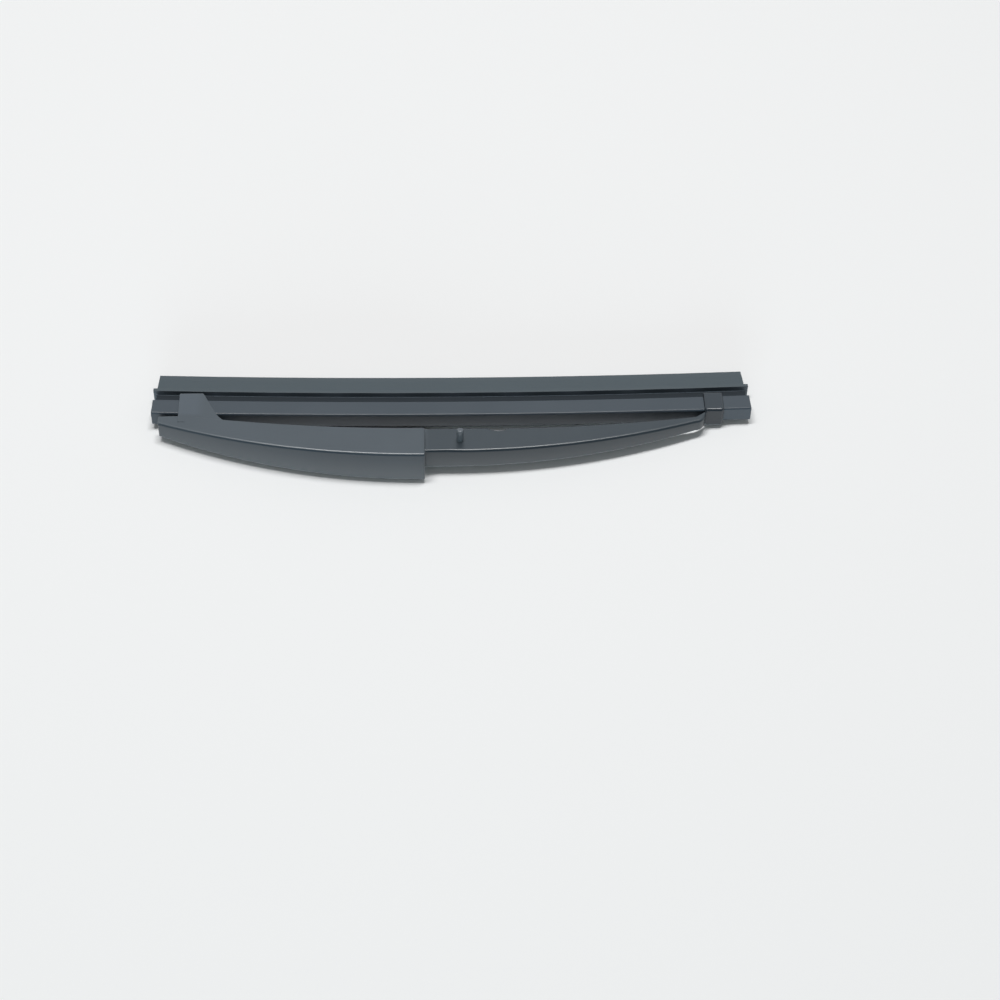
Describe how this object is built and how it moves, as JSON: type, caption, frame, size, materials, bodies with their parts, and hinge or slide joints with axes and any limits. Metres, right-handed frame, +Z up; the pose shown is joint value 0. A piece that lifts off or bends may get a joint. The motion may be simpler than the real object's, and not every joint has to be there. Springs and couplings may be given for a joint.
{
  "type": "wiper blade",
  "caption": "Short plastic wiper blade lying on its side: bow with an arm sleeve, two claws and a stud, curved rail and tapered rubber lip.",
  "frame": {"origin": "middle of the blade's box in plan, on the surface it lies on", "axes": "+X along the blade, from the sleeve towards the bare bow; +Y from the bow towards the wiping edge; +Z up from the surface. The blade's own middle plane is tipped 6.7 degrees about X, wiping edge down, as it comes to rest."},
  "size_m": [0.25, 0.0546, 0.0189],
  "materials": {
    "carrier_plastic": "satin",
    "rail_plastic": "satin",
    "lip_rubber": "matte"
  },
  "bodies": {
    "root": {"carrier": "carrier_plastic", "backing_rail": "rail_plastic", "rubber_lip": "lip_rubber"}
  },
  "joints": []
}
